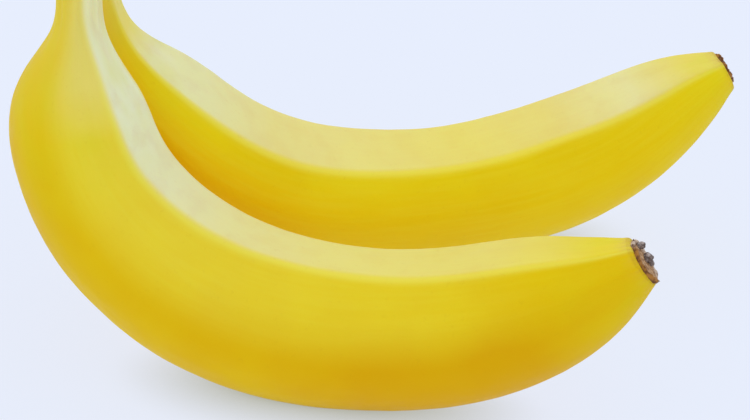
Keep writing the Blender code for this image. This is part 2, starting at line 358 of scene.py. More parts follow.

# Where the peel's colours, its painted sheen and its painted shade begin and end: degrees round the
# section, or millimetres along the fruit
skinZones = {
    "patternRadius": 18.0,  # of the tube round each spine that the patterns are laid on
    "patternGap": 400.0,  # between the two fruits' patterns
    "stemFace": (16.0, 14.0, 30.0),  # how much wider the painted sheen face is on the stem, and where that ends
    "stemEnd": (12.0, 46.0),  # from the crown, where the stem's colour fades
    "faceSoftness": (4.0, 7.0),  # of the painted sheen's edge, and how much more on the stem
    "farEdge": (-1.0, 6.0),  # past the ridge on the far side, front and rear fruit
    "belly": (-14.0, 30.0),  # past the side ridge, where the belly and its painted shade start and are full
    "lowSide": (8.0, 42.0),  # past the painted sheen's edge, where the rear fruit's painted deep shade starts and is full
    "ridgeLine": (2.5, 3.0),  # painted highlight line: its place past the painted sheen's edge, and half width
    "stemRidge": 0.8,  # how much of the painted highlight line is lost on the stem
    "farRidge": (0.8, 0.3),  # strength of the far side's painted highlight line, front and rear fruit
    "neck": (34.0, 22.0),  # from the crown, and half width
    "tipReach": 13.0,
    "blossomEdge": (1.8, 0.25),  # reach from the tip, and strength off the inside face
    "scarEdge": (0.3, 0.2),  # reach from the tip, and strength
    "crownDry": (103.5, 113.5),  # height where the crown starts to dry and is dry
    "dryWander": (2.5, 0.12),  # how far that line strays, and how often in a millimetre
    "cutFacing": (0.5, 0.85),  # how far up it looks where the cut starts and is full
    "cutHeight": (108.0, 112.0),
}


def alongFruits(skin, key):
    front, rear = [np.interp(skin["share"], *zip(*row)) for row in paintedLightAlong[key]]
    return np.where(skin["fruit"] == 0, front, rear)


def nearestOnSpines(points, spines):
    # for each point: which fruit it belongs to and the nearest place on that fruit's spine
    which, place = [], []
    batch = 4000  # points at a time, to spare memory
    for start in range(0, len(points), batch):
        part = points[start : start + batch, None]
        gaps = [np.linalg.norm(part - spine["centres"], axis=2) for spine in spines]
        near = [gap.argmin(axis=1) for gap in gaps]
        ratios = [gap.min(axis=1) / spine["thickness"][n] for gap, spine, n in zip(gaps, spines, near)]
        nearer = np.argmin(ratios, axis=0)
        which.append(nearer)
        place.append(np.where(nearer == 0, *near))
    return np.concatenate(which), np.concatenate(place)


def measureSkin(points, spines):
    # the skin's own coordinates: along the spine, round the section, and how near the ends are
    which, place = nearestOnSpines(points, spines)

    def picked(key):
        return np.stack([spine[key] for spine in spines])[which, place]

    offset = points - picked("centres")
    across, inward = [(offset * picked(key)).sum(axis=1) for key in ("sideways", "inward")]
    angle = (np.degrees(np.arctan2(across, inward)) - picked("roll") + 180) % 360 - 180
    toRidge = np.abs(np.abs(angle) - pairShape["ridges"][0])
    total = np.array([spine["lengths"][-1] for spine in spines])[which]
    return {
        "fruit": which,
        "share": picked("shares"),
        "fromCrown": picked("lengths"),
        "fromTip": total - picked("lengths"),
        "angle": angle,
        "innerRidgeGap": np.radians(toRidge) * picked("thickness"),
        "height": points[:, 2],
    }


def noiseAt(points, perMm, octaves=2):
    # smooth noise from -1 to 1 at each point
    shift, fade = Vector((skinRelief["seed"],) * 3), skinRelief["octaveFade"]
    return np.array([noise.fractal(Vector(p) * perMm + shift, *fade, octaves) for p in points])


def wavesRound(points, turn, count, stray, perMm):
    return np.cos(count * turn + stray * noiseAt(points, perMm))


def reliefOf(points, skin):
    # how far each point of the skin stands out of the smooth form
    stem = 1 - smoothStep(*skinRelief["stemToBody"], skin["fromCrown"])
    crown = smoothStep(*skinRelief["stemToCrown"], skin["height"])
    body = (1 - stem) * smoothStep(*skinRelief["tipToBody"], skin["fromTip"])
    turn = np.radians(skin["angle"])

    relief = np.zeros(len(points))
    for height, perMm in skinRelief["unevenness"]:
        relief += height * body * noiseAt(points, perMm)
    height, halfWidth = skinRelief["ridgeLine"]
    relief += height * (1 - crown) * hump(skin["innerRidgeGap"], halfWidth)
    depth, *creases = skinRelief["tipCreases"]
    reach, start, full = skinRelief["tipCreaseReach"]
    atTip = hump(skin["fromTip"], reach) * smoothStep(start, full, skin["fromTip"])
    relief -= depth * atTip * (0.5 + 0.5 * wavesRound(points, turn, *creases))
    height, *grooves = skinRelief["stemGrooves"]
    return relief + height * stem * (1 - crown) * wavesRound(points, turn, *grooves)


def reliefOfCrown(points, normals):
    # grooves down the crown's sides, torn fibres on its cut face and a torn edge round it
    centreX, centreY = crownShape["centre"]
    onCrown = smoothStep(*skinRelief["crownSides"], points[:, 2])
    onFace = onCrown * smoothStep(*skinRelief["cutFacing"], normals[:, 2])
    turn = np.arctan2(points[:, 1] - centreY, points[:, 0] - centreX)
    height, *grooves = skinRelief["crownGrooves"]
    relief = height * (onCrown - onFace) * wavesRound(points, turn, *grooves)
    height, perMm, octaves = skinRelief["cutFibres"]
    relief += height * onFace * noiseAt(points, perMm, octaves)
    height, perMm, halfWidth = skinRelief["cutEdge"]
    topHeight = crownShape["levels"][-1][0]
    nearEdge = onCrown * hump(points[:, 2] - topHeight, halfWidth) * (1 - onFace)
    return relief + height * nearEdge * noiseAt(points, perMm)


def roundOff(cage):
    # the cage's smooth surface as a mesh; the cage is taken away
    smooth = cage.modifiers.new("round skin", "SUBSURF")
    smooth.levels = smooth.render_levels = pairShape["roundingLevels"]
    graph = bpy.context.evaluated_depsgraph_get()
    data = bpy.data.meshes.new_from_object(cage.evaluated_get(graph))
    bpy.data.objects.remove(cage, do_unlink=True)
    return data


def pointsOf(data):
    # places in millimetres, and which way the surface looks there
    points, normals = np.empty((2, len(data.vertices) * 3))
    data.vertices.foreach_get("co", points)
    data.vertices.foreach_get("normal", normals)
    return points.reshape(-1, 3) / mm, normals.reshape(-1, 3)


def markSkin(data, points, normals, skin):
    # keeps on the mesh where each colour of the peel, the painted sheen and the painted shade lie, for the
    # skin's material
    zones = skinZones
    angle, fromCrown, fromTip, height = skin["angle"], skin["fromCrown"], skin["fromTip"], skin["height"]
    turned = np.abs(angle)
    onFront = skin["fruit"] == 0
    nearSide = angle > 0  # the side that the camera sees
    innerRidge, sideRidge, _ = pairShape["ridges"]

    # painted sheen on the inside face and by the neck, painted shade on the side and the belly
    stem = 1 - smoothStep(*zones["stemEnd"], fromCrown)
    wider, full, ended = zones["stemFace"]
    ridge = innerRidge + wider * (1 - smoothStep(full, ended, fromCrown))
    edge = ridge + np.where(nearSide, alongFruits(skin, "facetEdge"), np.where(onFront, *zones["farEdge"]))
    pastEdge = turned - edge
    softOnFruit, softerOnStem = zones["faceSoftness"]
    softness = softOnFruit + softerOnStem * stem
    onInside = 1 - smoothStep(-softness, softness, pastEdge)
    onBelly = smoothStep(*zones["belly"], turned - sideRidge)
    onSide = (1 - onInside) * (1 - onBelly)
    pale = onInside * alongFruits(skin, "faceSheenPainted") + onSide * alongFruits(skin, "sideSheenPainted")
    golden = onBelly * alongFruits(skin, "bellyShadePainted") + onSide * alongFruits(skin, "sideShadePainted")
    # the painted highlight line along the edge of the painted sheen
    lineGap, halfWidth = zones["ridgeLine"]
    line = (1 - zones["stemRidge"] * stem) * np.where(nearSide, 1.0, np.where(onFront, *zones["farRidge"]))

    # the neck, the tip, and the crown with its cut
    neckPlace, neckReach = zones["neck"]
    blossomReach, offFace = zones["blossomEdge"]
    scarReach, scarStrength = zones["scarEdge"]
    stray, perMm = zones["dryWander"]
    onTop = smoothStep(*zones["cutFacing"], normals[:, 2])
    turn, radius = np.radians(angle), zones["patternRadius"]
    along = fromCrown + zones["patternGap"] * skin["fruit"]

    marks = {
        "skinPlace": np.column_stack((radius * np.cos(turn), radius * np.sin(turn), along)),
        "paintedSheenOnFace": pale,
        "paintedShadeGold": golden,
        "paintedShadeOnSide": smoothStep(*zones["lowSide"], pastEdge) * alongFruits(skin, "paintedShadeAmber"),
        "ridgeLine": line * hump(pastEdge - lineGap, halfWidth),
        "stemEnd": stem,
        "neck": hump(fromCrown - neckPlace, neckReach),
        "tipEnd": hump(fromTip, zones["tipReach"]),
        "blossomEdge": hump(fromTip, blossomReach) * (offFace + (1 - offFace) * onInside),
        "scarEdge": scarStrength * hump(fromTip, scarReach),
        "crownDry": smoothStep(*zones["crownDry"], height + stray * noiseAt(points, perMm)),
        "cutFace": onTop * smoothStep(*zones["cutHeight"], height),
    }
    for name, values in marks.items():
        storeOn(data, name, values)


def buildPair(material):
    shares = np.linspace(0.0, 1.0, pairShape["rings"])
    shares = shares - pairShape["endCrowding"] * np.sin(2 * pi * shares) / (2 * pi)
    fruits = (
        (pairShape["frontStations"], pairShape["frontBendCentre"]),
        (pairShape["rearStations"], pairShape["rearBendCentre"]),
    )
    coarse = [spineOf(stations, bend, shares) for stations, bend in fruits]
    ends = [(spine["centres"][-1], spine["tangents"][-1]) for spine in coarse]
    front, rear = [fruitRings(spine) for spine in coarse]
    mesh = bmesh.new()
    mesh.edges.layers.float.new("crease_edge")
    frontRing, rearRing = growCrown(mesh, front[0], rear[0])
    for ring, rings, (tip, heading) in ((frontRing, front, ends[0]), (rearRing, rear, ends[1])):
        growFruit(mesh, ring, rings[1:], tip, heading)
    data = roundOff(finishMesh("pairCage", mesh))

    points, normals = pointsOf(data)
    measured = np.linspace(0.0, 1.0, pairShape["measuredPlaces"])
    skin = measureSkin(points, [spineOf(stations, bend, measured) for stations, bend in fruits])
    relief = reliefOf(points, skin) + reliefOfCrown(points, normals)
    points += normals * relief[:, None]
    points[:, 2] = np.maximum(points[:, 2], 0.0)  # the bellies rest flat on the surface
    points[:, :2] += pairShape["place"]
    data.vertices.foreach_set("co", (points * mm).ravel())
    markSkin(data, points, normals, skin)
    data.shade_smooth()
    data.materials.append(material)
    return addObject("bananaPairSkin", data), ends


# Material helpers
def linear(red, green, blue):
    # a colour as seen on a screen, 0 to 255, turned into the shader's own scale
    channels = [value / 255 for value in (red, green, blue)]
    return (*[c / 12.92 if c <= 0.04045 else ((c + 0.055) / 1.055) ** 2.4 for c in channels], 1.0)


def feed(tree, socket, value):
    # links another node's output to the socket, or sets a plain value there
    if hasattr(value, "is_output"):
        tree.links.new(value, socket)
    else:
        socket.default_value = value


def feedAll(tree, node, inputs):
    for name, value in inputs.items():
        feed(tree, node.inputs[name], value)


def addNode(tree, kind, **inputs):
    node = tree.nodes.new(kind)
    feedAll(tree, node, inputs)
    return node


def mixColours(tree, factor, first, second):
    node = tree.nodes.new("ShaderNodeMix")
    node.data_type = "RGBA"
    for number, value in ((0, factor), (6, first), (7, second)):
        feed(tree, node.inputs[number], value)
    return node.outputs[2]


def doMath(tree, operation, first, second, clamp=False):
    node = tree.nodes.new("ShaderNodeMath")
    node.operation = operation
    node.use_clamp = clamp
    feed(tree, node.inputs[0], first)
    feed(tree, node.inputs[1], second)
    return node.outputs[0]


def times(tree, first, second):
    return doMath(tree, "MULTIPLY", first, second)


def storedValue(tree, name, output="Fac"):
    node = tree.nodes.new("ShaderNodeAttribute")
    node.attribute_name = name
    return node.outputs[output]


def objectPlace(tree):
    return tree.nodes.new("ShaderNodeTexCoord").outputs["Object"]


def maskFrom(tree, group, place, pattern):
    # a mask group laid on the place; the pattern is a row of its amounts
    node = tree.nodes.new("ShaderNodeGroup")
    node.node_tree = group
    for socket, value in zip(node.inputs, (place, *pattern)):
        feed(tree, socket, value)
    return node.outputs["Mask"]


def addBump(tree, shader, strength, depth, relief):
    bump = addNode(tree, "ShaderNodeBump", Strength=strength, Distance=depth * mm, Height=relief)
    feed(tree, shader.inputs["Normal"], bump.outputs[0])


def newMaterial(name):
    material = bpy.data.materials.new(name)
    material.use_nodes = True
    return material, material.node_tree, material.node_tree.nodes["Principled BSDF"]


def newMaskGroup(name, **amounts):
    # an empty group that is to turn a place into a mask
    group = bpy.data.node_groups.new(name, "ShaderNodeTree")
    group.interface.new_socket(name="Place", in_out="INPUT", socket_type="NodeSocketVector")
    for amount, usual in amounts.items():
        socket = group.interface.new_socket(name=amount, in_out="INPUT", socket_type="NodeSocketFloat")
        socket.default_value = usual
    group.interface.new_socket(name="Mask", in_out="OUTPUT", socket_type="NodeSocketFloat")
    return group, group.nodes.new("NodeGroupInput").outputs, group.nodes.new("NodeGroupOutput").inputs


def putMask(group, cloud, given, put):
    # the mask goes softly from 0 to 1 where the noise goes from From to To
    spread = group.nodes.new("ShaderNodeMapRange")
    spread.interpolation_type = "SMOOTHSTEP"
    for socket, value in zip(spread.inputs, (cloud.outputs[0], given["From"], given["To"])):
        feed(group, socket, value)
    feed(group, put["Mask"], spread.outputs[0])


def buildCloudyPatches():
    # soft cloudy patches
    group, given, put = newMaskGroup("cloudyPatches", Scale=1.0, Detail=2.0, From=0.4, To=0.6)
    scale, detail = given["Scale"], given["Detail"]
    cloud = addNode(group, "ShaderNodeTexNoise", Vector=given["Place"], Scale=scale, Detail=detail)
    putMask(group, cloud, given, put)
    return group


def buildLongFibres():
    # long thin streaks along the third axis of the place
    group, given, put = newMaskGroup("longFibres", Across=2.0, Along=0.1, From=0.4, To=0.6)
    across, along = given["Across"], given["Along"]
    scales = addNode(group, "ShaderNodeCombineXYZ", X=across, Y=across, Z=along)
    stretched = group.nodes.new("ShaderNodeVectorMath")
    stretched.operation = "MULTIPLY"
    feed(group, stretched.inputs[0], given["Place"])
    feed(group, stretched.inputs[1], scales.outputs[0])
    cloud = addNode(group, "ShaderNodeTexNoise", Vector=stretched.outputs[0], Scale=1.0, Detail=3.0)
    putMask(group, cloud, given, put)
    return group


cloudyPatches = buildCloudyPatches()
longFibres = buildLongFibres()

skinFinish = {
    "yellow": linear(246, 219, 16),
    # deep golden: drifts at random over the peel, and is also the painted shade of the belly and the
    # shaded sides
    "golden": linear(229, 174, 0),
    # painted shade, with bounced golden light, on the rear fruit where the front one shades it
    "paintedShadeAmber": linear(249, 198, 12),
    # painted sheen: the inside face's colour where the overhead light reflects off it
    "paintedSheenPale": linear(241, 242, 201),
    "paintedSheenBlush": linear(232, 218, 186),
    "lemonStreak": linear(248, 230, 60),
    # painted highlight along the ridge
    "paintedRidgeHighlight": linear(248, 232, 84),
    "lemonGreen": linear(222, 216, 30),
    "stemOlive": linear(236, 214, 84),
    "crownTan": linear(176, 140, 66),
    "crownBrown": linear(92, 62, 34),
    "cutDark": linear(58, 41, 28),
    "cutPale": linear(112, 84, 56),
    "tipBrown": linear(176, 122, 30),
    "blossomTan": linear(226, 186, 96),
    "freckle": linear(196, 140, 20),
    # how much of each effect reaches the peel
    "driftShare": 0.2,
    "streakShare": (0.15, 0.25),  # and how much of that the painted belly shade takes away
    "blushShare": 0.4,
    "ridgeHighlightShare": 0.65,
    "greenShare": 0.32,
    "oliveShare": 0.6,
    "freckleShare": 0.07,
    "tanShare": 0.6,
    "scorchFloor": 0.5,  # of the scorch where its patches are faintest
    "crownFibreShare": 0.6,
    "brownFloor": 0.45,
    "poreShare": 0.5,
    "rotShare": 0.5,
    "roughness": (0.40, 0.52),
    "dryRoughness": 0.35,
    "fineLineShare": 0.6,  # of the bump
    "poreBump": (0.25, 0.04),  # strength, and height in millimetres
    "wax": {
        "Specular IOR Level": 0.04,
        "Subsurface Weight": 0.08,
        "Subsurface Radius": (1.0, 0.55, 0.1),
        "Subsurface Scale": 0.0025,
    },
}

# Patches: scale, detail, and the noise levels where the mask starts and is full. Fibres: scale across
# and along, then the same. The peel's are laid out in millimetres, the crown's and cut's in metres.
skinPatterns = {
    "drift": (0.035, 3.0, 0.3, 0.7),
    "streakFibres": (0.9, 0.05, 0.35, 0.7),
    "blush": (0.11, 3.0, 0.42, 0.66),
    "green": (0.09, 2.0, 0.25, 0.75),
    "freckles": (0.8, 4.0, 0.60, 0.74),
    "tan": (0.5, 3.0, 0.2, 0.7),
    "crownFibres": (420.0, 60.0, 0.25, 0.75),
    "cutPores": (1300.0, 4.0, 0.4, 0.75),
    "cutRot": (220.0, 3.0, 0.35, 0.65),
    "sheen": (0.25, 3.0, 0.3, 0.7),
    "lineFibres": (2.6, 0.25, 0.2, 0.8),
    "pores": (2.2, 3.0, 0.3, 0.7),
}


def paintSkin():
    look = skinFinish
    material, tree, shader = newMaterial("ripeBananaSkin")
    place, inRoom = storedValue(tree, "skinPlace", "Vector"), objectPlace(tree)
    belly, inside, dry, cutFace = [
        storedValue(tree, name) for name in ("paintedShadeGold", "paintedSheenOnFace", "crownDry", "cutFace")
    ]

    def patches(key, over=place):
        return maskFrom(tree, cloudyPatches, over, skinPatterns[key])

    def fibres(key, over=place):
        return maskFrom(tree, longFibres, over, skinPatterns[key])

    # slow drift between lemon and golden yellow, with painted shade that makes it deeper golden on the
    # belly and the shaded sides, and faint streaks off it
    golden = doMath(tree, "ADD", times(tree, patches("drift"), look["driftShare"]), belly, clamp=True)
    most, lostOnBelly = look["streakShare"]
    offBelly = doMath(tree, "SUBTRACT", most, times(tree, belly, lostOnBelly), clamp=True)
    streaks = times(tree, fibres("streakFibres"), offBelly)

    # the painted sheen on the inside face, and a painted highlight line along its edge
    blush = times(tree, patches("blush"), look["blushShare"])
    pale = mixColours(tree, blush, look["paintedSheenPale"], look["paintedSheenBlush"])
    ridge = times(tree, storedValue(tree, "ridgeLine"), look["ridgeHighlightShare"])

    # a little green is left at the neck and behind the blossom end, and olive on the stem
    ends = doMath(tree, "MAXIMUM", storedValue(tree, "neck"), storedValue(tree, "tipEnd"))
    green = times(tree, times(tree, ends, patches("green")), look["greenShare"])
    offInside = doMath(tree, "SUBTRACT", look["oliveShare"], times(tree, inside, look["oliveShare"]))
    olive = times(tree, storedValue(tree, "stemEnd"), offInside)

    # freckles too faint to see from far, and tan and scorched peel by the blossom
    freckles = times(tree, patches("freckles"), look["freckleShare"])
    tanPatch = patches("tan")
    tan = times(tree, storedValue(tree, "blossomEdge"), times(tree, tanPatch, look["tanShare"]))
    scorchPatch = doMath(tree, "ADD", tanPatch, look["scorchFloor"])
    scorch = doMath(tree, "MULTIPLY", storedValue(tree, "scarEdge"), scorchPatch, clamp=True)

    # brown and fibrous at the crown, dark with pale fibre ends on the cut
    crownFibres = fibres("crownFibres", inRoom)
    tanFibres = times(tree, times(tree, crownFibres, dry), look["crownFibreShare"])
    tanning = doMath(tree, "ADD", dry, tanFibres, clamp=True)
    brownFibres = doMath(tree, "ADD", crownFibres, look["brownFloor"])
    browning = doMath(tree, "MULTIPLY", times(tree, dry, dry), brownFibres, clamp=True)
    pores = times(tree, patches("cutPores", inRoom), look["poreShare"])
    rot = times(tree, patches("cutRot", inRoom), look["rotShare"])
    cut = mixColours(tree, doMath(tree, "ADD", pores, rot), look["cutDark"], look["cutPale"])

    colour = mixColours(tree, golden, look["yellow"], look["golden"])
    for mask, tone in (  # laid over each other in this order
        (storedValue(tree, "paintedShadeOnSide"), look["paintedShadeAmber"]),
        (streaks, look["lemonStreak"]),
        (inside, pale),
        (ridge, look["paintedRidgeHighlight"]),
        (green, look["lemonGreen"]),
        (olive, look["stemOlive"]),
        (freckles, look["freckle"]),
        (tan, look["blossomTan"]),
        (scorch, look["tipBrown"]),
        (tanning, look["crownTan"]),
        (browning, look["crownBrown"]),
        (cutFace, cut),
    ):
        colour = mixColours(tree, mask, colour, tone)

    # satin wax, duller where the skin is dry
    smoothest, roughest = look["roughness"]
    rough = doMath(tree, "ADD", times(tree, patches("sheen"), roughest - smoothest), smoothest)
    woody = times(tree, doMath(tree, "MAXIMUM", dry, cutFace), look["dryRoughness"])
    roughness = doMath(tree, "ADD", rough, woody, clamp=True)
    feedAll(tree, shader, {"Base Color": colour, "Roughness": roughness, **look["wax"]})

    # pores and fine lengthwise lines in the peel
    fineLines = times(tree, fibres("lineFibres"), look["fineLineShare"])
    addBump(tree, shader, *look["poreBump"], doMath(tree, "ADD", fineLines, patches("pores")))
    return material


# The dried blossom ends: dead dry tissue in three looks. Their patterns are laid out in metres.
blossomFinish = {
    "rim": {
        "name": "driedPetalRim",
        "dark": linear(106, 60, 12),
        "pale": linear(178, 118, 40),
        "bleached": linear(214, 188, 160),  # on the side that the mesh marks as bleached
        "patchScale": 700.0,
        "balance": 0.5,  # a higher one leaves more of it dark
    },
    "heart": {
        "name": "driedHeart",
        "dark": linear(152, 106, 60),
        "pale": linear(204, 160, 110),
        "patchScale": 1100.0,
        "balance": 0.5,
    },
    "style": {
        "name": "witheredStyle",
        "dark": linear(124, 106, 96),
        "pale": linear(200, 184, 172),
        "patchScale": 800.0,
        "balance": 0.55,
    },
}
witheredSurface = {
    "patchEdge": 0.12,
    "detail": 4.0,
    "bleachFloor": 0.45,  # of the bleaching, where the patches are dark
    "grainScale": 3.5,  # of the patch scale
    "grainRange": (0.2, 0.8),
    "roughness": (0.72, 0.2),  # at the least, and what the grain adds
    "bump": (0.6, 0.12),  # strength, and height in millimetres
}


def paintWithered(look):
    # dark and pale patches with a wrinkled matt surface
    surface = witheredSurface
    material, tree, shader = newMaterial(look["name"])
    place = objectPlace(tree)

    scale, detail = look["patchScale"], surface["detail"]
    low, high = look["balance"] - surface["patchEdge"], look["balance"] + surface["patchEdge"]
    tone = maskFrom(tree, cloudyPatches, place, (scale, detail, low, high))
    colour = mixColours(tree, tone, look["dark"], look["pale"])
    if "bleached" in look:
        patchy = doMath(tree, "ADD", tone, surface["bleachFloor"])
        faded = doMath(tree, "MULTIPLY", storedValue(tree, "bleached"), patchy, clamp=True)
        colour = mixColours(tree, faded, colour, look["bleached"])
    grainPattern = (surface["grainScale"] * scale, detail, *surface["grainRange"])
    grain = maskFrom(tree, cloudyPatches, place, grainPattern)
    least, more = surface["roughness"]
    roughness = doMath(tree, "ADD", times(tree, grain, more), least)
    feedAll(tree, shader, {"Base Color": colour, "Roughness": roughness})
    addBump(tree, shader, *surface["bump"], grain)
    return material


blossomSeat = {
    "sides": 96,  # points round the rim and the heart
    "standOff": 0.8,  # above the fruit's last ring
    "octaveFade": (0.9, 2.0),  # as in the skin's relief
}
blossomEnds = {
    "Front": {
        "node": "blossom_end_front",
        "radius": 5.3,
        "aboveMiddle": 0.0,
        "bleached": (180.0, 80.0, 112.0),  # degrees: middle of the pale part, its full and its outer reach
        "seed": 11,
        "lumps": (  # place across, place up, size across, size out, share sunk in
            (-1.4, -0.5, 1.3, 1.2, 0.2),
            (-2.8, 2.2, 0.9, 1.1, 0.1),
            (-1.1, -1.9, 0.8, 0.8, 0.1),
        ),
    },
    "Rear": {
        "node": "blossom_end_rear",
        "radius": 4.25,
        "aboveMiddle": 0.8,
        "bleached": (240.0, 40.0, 130.0),
        "seed": 29,
        "lumps": (
            (0.2, 0.2, 0.9, 0.7, 0.4),
            (-1.0, 1.9, 0.6, 0.5, 0.3),
        ),
    },
}


def endFrame(tip, heading, aboveMiddle):
    # a left-handed frame on a blunt end: X across, Y up along the face, Z out of it
    outward = Vector(heading).normalized()
    across = outward.cross(Vector((0.0, 0.0, 1.0))).normalized()
    up = across.cross(outward)
    turned = Matrix((across, up, outward)).transposed()
    place = Vector(tip) + Vector((*pairShape["place"], 0.0))
    place = place + outward * blossomSeat["standOff"] + up * aboveMiddle
    return Matrix.Translation(place) @ turned.to_4x4()


def wobble(turn, seed, octaves, perTurn):
    # noise that closes on itself round a ring
    point = Vector((cos(turn) * perTurn, sin(turn) * perTurn, seed))
    return noise.fractal(point, *blossomSeat["octaveFade"], octaves)


def finishOnEnd(name, mesh, toWorld, material):
    # a left-handed frame mirrors what it places, so the faces are turned round again
    for vertex in mesh.verts:
        vertex.co = (toWorld @ (vertex.co / mm)) * mm
    bmesh.ops.reverse_faces(mesh, faces=mesh.faces)
    return finishMesh(name, mesh, material)


rimShape = {
    "profile": (  # distance from the rim's own radius, and height
        (-0.75, -0.3), (-0.70, 0.2), (-0.45, 0.45), (-0.15, 0.5), (0.15, 0.3), (0.26, -0.2), (0.1, -0.7),
    ),
    "fit": 0.94,  # of the blossom's radius
    # unevenness: strength, seed, octaves, and fineness round the ring
    "outline": (0.06, 0, 3, 1.3),
    "breadth": (0.8, 2, 3, 1.8),
    "tallness": (0.9, 5, 4, 2.6),
    "fraying": (0.18, 9, 5, 6.0),
    "frayedLift": 0.7,  # how much of the fraying also goes up and down
}


def buildRim(name, end, toWorld, material):
    # the ragged dry ring that the petals left
    sides = blossomSeat["sides"]
    mesh = bmesh.new()

    def uneven(key, turn, part=0):
        strength, seed, octaves, perTurn = rimShape[key]
        return strength * wobble(turn, end["seed"] + seed + part, octaves, perTurn)

    rings = []
    for part, (out, rise) in enumerate(rimShape["profile"]):
        ring = []
        for side in range(sides):
            turn = 2 * pi * side / sides
            radius = end["radius"] * (rimShape["fit"] + uneven("outline", turn))
            frayed = uneven("fraying", turn, part)
            reach = radius + out * (1.0 + uneven("breadth", turn)) + frayed
            height = rise * (1.0 + uneven("tallness", turn)) if rise > 0 else rise
            ring.append((reach * cos(turn), reach * sin(turn), height + rimShape["frayedLift"] * frayed))
        rings.append(addRing(mesh, ring))
    for first, second in zip(rings, rings[1:] + rings[:1]):
        bridge(mesh, first, second)
    bmesh.ops.recalc_face_normals(mesh, faces=mesh.faces)
    rim = finishOnEnd(name, mesh, toWorld, material)
    middle, full, ended = end["bleached"]
    turns = np.tile(np.arange(sides) * 360.0 / sides, len(rings))
    away = np.abs((turns - middle + 180) % 360 - 180)
    storeOn(rim.data, "bleached", 1 - smoothStep(full, ended, away))
    return rim


heartShape = {
    "rings": 14,
    "fit": 0.95,  # of the blossom's radius
    "rise": (0.05, 0.35),  # at the heart's edge, and how much more inside
    "pit": (0.4, 0.14),  # depth, and half width as a share of the radius
    "creases": (0.32, 3, 4, 3.5),  # depth at the edge, seed, octaves, fineness
    "creaseTwist": 0.6,
    "underside": (0.9, -0.8),  # share of the radius, and height
}


def buildHeart(name, end, toWorld, material):
    # the wrinkled face inside the ring, creased towards its middle
    sides, count = blossomSeat["sides"], heartShape["rings"]
    turns = [2 * pi * side / sides for side in range(sides)]
    mesh = bmesh.new()

    def heightAt(share, turn):
        depth, seed, octaves, perTurn = heartShape["creases"]
        twisted = end["seed"] + seed + heartShape["creaseTwist"] * share
        creases = depth * share * wobble(turn, twisted, octaves, perTurn)
        edge, dome = heartShape["rise"]
        pit, halfWidth = heartShape["pit"]
        return edge + dome * (1 - share * share) - pit * exp(-((share / halfWidth) ** 2)) + creases

    rings = []
    for number in range(count, 0, -1):
        share = number / count
        reach = share * end["radius"] * heartShape["fit"]
        points = [(reach * cos(turn), reach * sin(turn), heightAt(share, turn)) for turn in turns]
        rings.append(addRing(mesh, points))
    for outer, inner in zip(rings, rings[1:]):
        bridge(mesh, outer, inner)
    closeEnd(mesh, rings[-1], (0.0, 0.0, heightAt(0.0, 0.0)))
    narrowing, depth = heartShape["underside"]
    below = addRing(mesh, [(v.co.x / mm * narrowing, v.co.y / mm * narrowing, depth) for v in rings[0]])
    bridge(mesh, below, rings[0])
    closeEnd(mesh, below[::-1], (0.0, 0.0, depth))
    bmesh.ops.recalc_face_normals(mesh, faces=mesh.faces)
    return finishOnEnd(name, mesh, toWorld, material)


styleShape = {
    "fineness": 5,  # subdivisions of the ball that it starts from
    "swell": (0.28, 1.3),  # strength, and how fine
    "folds": (0.55, 1.9, 3),  # depth, how fine, and octaves
    "seedStep": 4.0,  # from one lump to the next
    "noisePlace": (1.7, 0.3),
}


def buildStyle(name, end, lump, number, toWorld, material):
    # a shrivelled remnant of the flower, wrinkled and half sunk in the face
    across, up, width, tall, sunk = lump
    swell, swellFineness = styleShape["swell"]
    depth, foldFineness, octaves = styleShape["folds"]
    mesh = bmesh.new()
    bmesh.ops.create_icosphere(mesh, subdivisions=styleShape["fineness"], radius=1.0)
    shift = Vector((end["seed"] + styleShape["seedStep"] * number, *styleShape["noisePlace"]))
    for vertex in mesh.verts:
        way = vertex.co.normalized()
        folds = abs(noise.fractal(way * foldFineness + shift, *blossomSeat["octaveFade"], octaves))
        shape = 1.0 + swell * noise.noise(way * swellFineness + shift) - depth * folds
        x, y, z = way * shape
        vertex.co = Vector((across + x * width, up + y * width, (z + 1 - 2 * sunk) * tall)) * mm
    return finishOnEnd(name, mesh, toWorld, material)


scrapShape = {
    "count": 9,
    "place": (0.1, 0.9),  # in its own share of the ring; drawn, as the next three are
    "width": (0.6, 1.3),
    "tall": (0.15, 0.45),
    "curl": (-0.5, 0.9),
    "curlReach": 0.8,
    "steps": 6,
    "taper": (0.75, 1.5),  # width lost at the top, and how late
    "fit": 0.96,  # of the blossom's radius
    "foot": 0.1,
    "halfThickness": 0.05,
    "raggedness": 0.1,
}


def buildScraps(name, end, toWorld, material):
    # thin curled scraps of petal that still hang on the ring
    draw = Random(end["seed"])
    count, steps, thin = scrapShape["count"], scrapShape["steps"], scrapShape["halfThickness"]
    lost, lateness = scrapShape["taper"]
    mesh = bmesh.new()
    for number in range(count):
        turn = 2 * pi * (number + draw.uniform(*scrapShape["place"])) / count
        wide = draw.uniform(*scrapShape["width"])
        tall = draw.uniform(*scrapShape["tall"])
        curl = draw.uniform(*scrapShape["curl"])
        rows = []
        for step in range(steps + 1):
            share = step / steps
            half = wide * (1 - lost * share**lateness) / 2
            outward = end["radius"] * scrapShape["fit"] + curl * share * share * scrapShape["curlReach"]
            height = scrapShape["foot"] + tall * share
            row = []
            for side, lift in ((-1, thin), (1, thin), (1, -thin), (-1, -thin)):
                reach = outward + lift + scrapShape["raggedness"] * draw.uniform(-1, 1)
                spread = side * half
                x = reach * cos(turn) - spread * sin(turn)
                y = reach * sin(turn) + spread * cos(turn)
                row.append((x, y, height))
            rows.append(addRing(mesh, row))
        for first, second in zip(rows, rows[1:]):
            bridge(mesh, first, second)
        mesh.faces.new(rows[0][::-1])
        mesh.faces.new(rows[-1])
    return finishOnEnd(name, mesh, toWorld, material)


